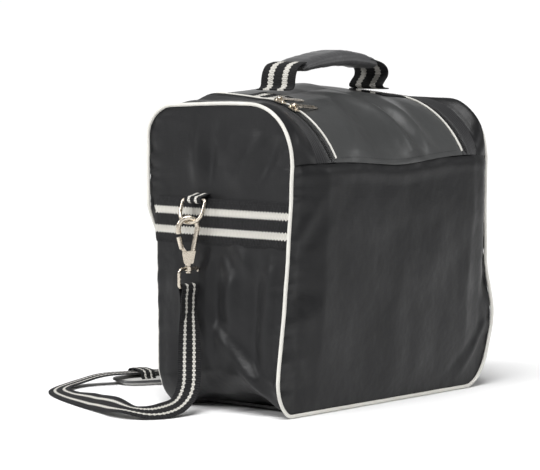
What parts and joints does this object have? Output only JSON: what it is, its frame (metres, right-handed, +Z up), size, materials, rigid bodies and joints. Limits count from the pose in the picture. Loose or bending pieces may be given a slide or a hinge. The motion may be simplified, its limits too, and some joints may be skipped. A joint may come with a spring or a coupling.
{
  "type": "skate bag",
  "caption": "Soft upright bag for ice skates: zipped lid, padded carrying handle, D-rings and a detachable shoulder strap with swivel snap hooks and a pad.",
  "frame": {"origin": "on the floor under the middle of the bag, without its loose strap", "axes": "+X along the wide front face, +Y from the front face to the rear face, +Z up"},
  "size_m": [0.5292, 0.3684, 0.389],
  "materials": {
    "bag_fabric": "charcoal-black satin nylon",
    "lid_fabric": "charcoal-black satin nylon",
    "webbing": "black webbing with woven off-white stripes",
    "strap_webbing": "25 mm black webbing with thin white stripes",
    "piping": "off-white cord piping",
    "zip_tape": "black ribbed tape",
    "zip_coil": "black nylon coil",
    "hardware": "satin champagne nickel",
    "padded": "padded black nylon",
    "foam": "foam filling",
    "board": "plain",
    "adjuster": "moulded black"
  },
  "bodies": {
    "bag": {"base_board": "board", "bottom_panel": "bag_fabric", "front_panel": "bag_fabric", "left_ring_tab": "webbing", "left_shoulder_panel": "bag_fabric", "left_side_band": "webbing", "left_side_panel": "bag_fabric", "pad_keepers": "strap_webbing", "rear_panel": "bag_fabric", "right_ring_tab": "webbing", "right_shoulder_panel": "bag_fabric", "right_side_band": "webbing", "right_side_panel": "bag_fabric", "seam_piping": "piping", "shoulder_pad": "padded", "strap_adjuster": "adjuster", "strap_long": "strap_webbing", "strap_short": "strap_webbing", "zip_coil_body": "zip_coil", "zip_tape_body": "zip_tape"},
    "lid": {"lid_panel": "lid_fabric", "lid_piping": "piping", "zip_tape_lid": "zip_tape", "zip_coil_lid": "zip_coil", "handle_foot_left": "webbing", "handle_foot_right": "webbing"},
    "handle": {"handle_leg_left": "webbing", "handle_leg_right": "webbing", "handle_grip_cover": "padded", "handle_grip_core": "foam"},
    "slider_front": {"zip_slider_front": "hardware"},
    "slider_rear": {"zip_slider_rear": "hardware"},
    "pull_front": {"zip_pull_front": "hardware"},
    "pull_rear": {"zip_pull_rear": "hardware"},
    "left_ring": {"left_d_ring": "hardware", "left_swivel_eye": "hardware", "left_strap_end": "strap_webbing"},
    "left_hook": {"left_hook_body": "hardware", "left_hook_rivet": "hardware", "left_swivel_pin": "hardware", "left_gate_spring": "hardware"},
    "left_gate": {"left_hook_gate": "hardware"},
    "right_ring": {"right_d_ring": "hardware", "right_swivel_eye": "hardware", "right_strap_end": "strap_webbing"},
    "right_hook": {"right_hook_body": "hardware", "right_hook_rivet": "hardware", "right_swivel_pin": "hardware", "right_gate_spring": "hardware"},
    "right_gate": {"right_hook_gate": "hardware"}
  },
  "joints": [
    {"name": "lid_hinge", "type": "hinge", "parent": "bag", "child": "lid", "pos_m": [0, -0.1069, 0.2683], "axis": [1, 0, 0], "range_deg": [0, 110]},
    {"name": "handle_flatten", "type": "slide", "parent": "lid", "child": "handle", "axis": [0, 0, 1], "range_m": [-0.016, 0], "stiffness_N_per_m": 300, "springref_m": 0.01, "deforming": ["handle_leg_left", "handle_leg_right"]},
    {"name": "zip_front", "type": "hinge", "parent": "lid", "child": "slider_front", "pos_m": [-0.119, 0, 0.218], "axis": [1, 0, 0], "range_deg": [0, 32]},
    {"name": "pull_front", "type": "hinge", "parent": "slider_front", "child": "pull_front", "pos_m": [-0.119, -0.05273, 0.33056], "axis": [0, -0.9056, -0.4242], "range_deg": [0, 150]},
    {"name": "zip_rear", "type": "hinge", "parent": "lid", "child": "slider_rear", "pos_m": [-0.119, 0, 0.218], "axis": [1, 0, 0], "range_deg": [0, 32]},
    {"name": "pull_rear", "type": "hinge", "parent": "slider_rear", "child": "pull_rear", "pos_m": [-0.119, -0.03259, 0.33795], "axis": [0, -0.965, -0.2622], "range_deg": [0, 150]},
    {"name": "left_ring_swing", "type": "hinge", "parent": "bag", "child": "left_ring", "pos_m": [-0.1885, 0.03, 0.229], "axis": [0, 1, 0], "range_deg": [0, 60]},
    {"name": "left_hook_swivel", "type": "hinge", "parent": "left_ring", "child": "left_hook", "pos_m": [-0.19752, 0.03, 0.20461], "axis": [0, 0, 1], "range_deg": [-3, 60]},
    {"name": "left_gate_open", "type": "hinge", "parent": "left_hook", "child": "left_gate", "pos_m": [-0.19858, 0.03106, 0.168], "axis": [0.7071, 0.7071, 0], "range_deg": [0, 22], "stiffness_Nm_per_rad": 0.05},
    {"name": "right_ring_swing", "type": "hinge", "parent": "bag", "child": "right_ring", "pos_m": [0.1885, 0.03, 0.229], "axis": [0, -1, 0], "range_deg": [0, 60]},
    {"name": "right_hook_swivel", "type": "hinge", "parent": "right_ring", "child": "right_hook", "pos_m": [0.19752, 0.03, 0.20461], "axis": [0, 0, -1], "range_deg": [-3, 60]},
    {"name": "right_gate_open", "type": "hinge", "parent": "right_hook", "child": "right_gate", "pos_m": [0.19858, 0.03106, 0.168], "axis": [0.7071, -0.7071, 0], "range_deg": [0, 22], "stiffness_Nm_per_rad": 0.05}
  ],
  "couplings": [
    {"joint": "zip_rear", "follows": "zip_front", "ratio": 1}
  ]
}
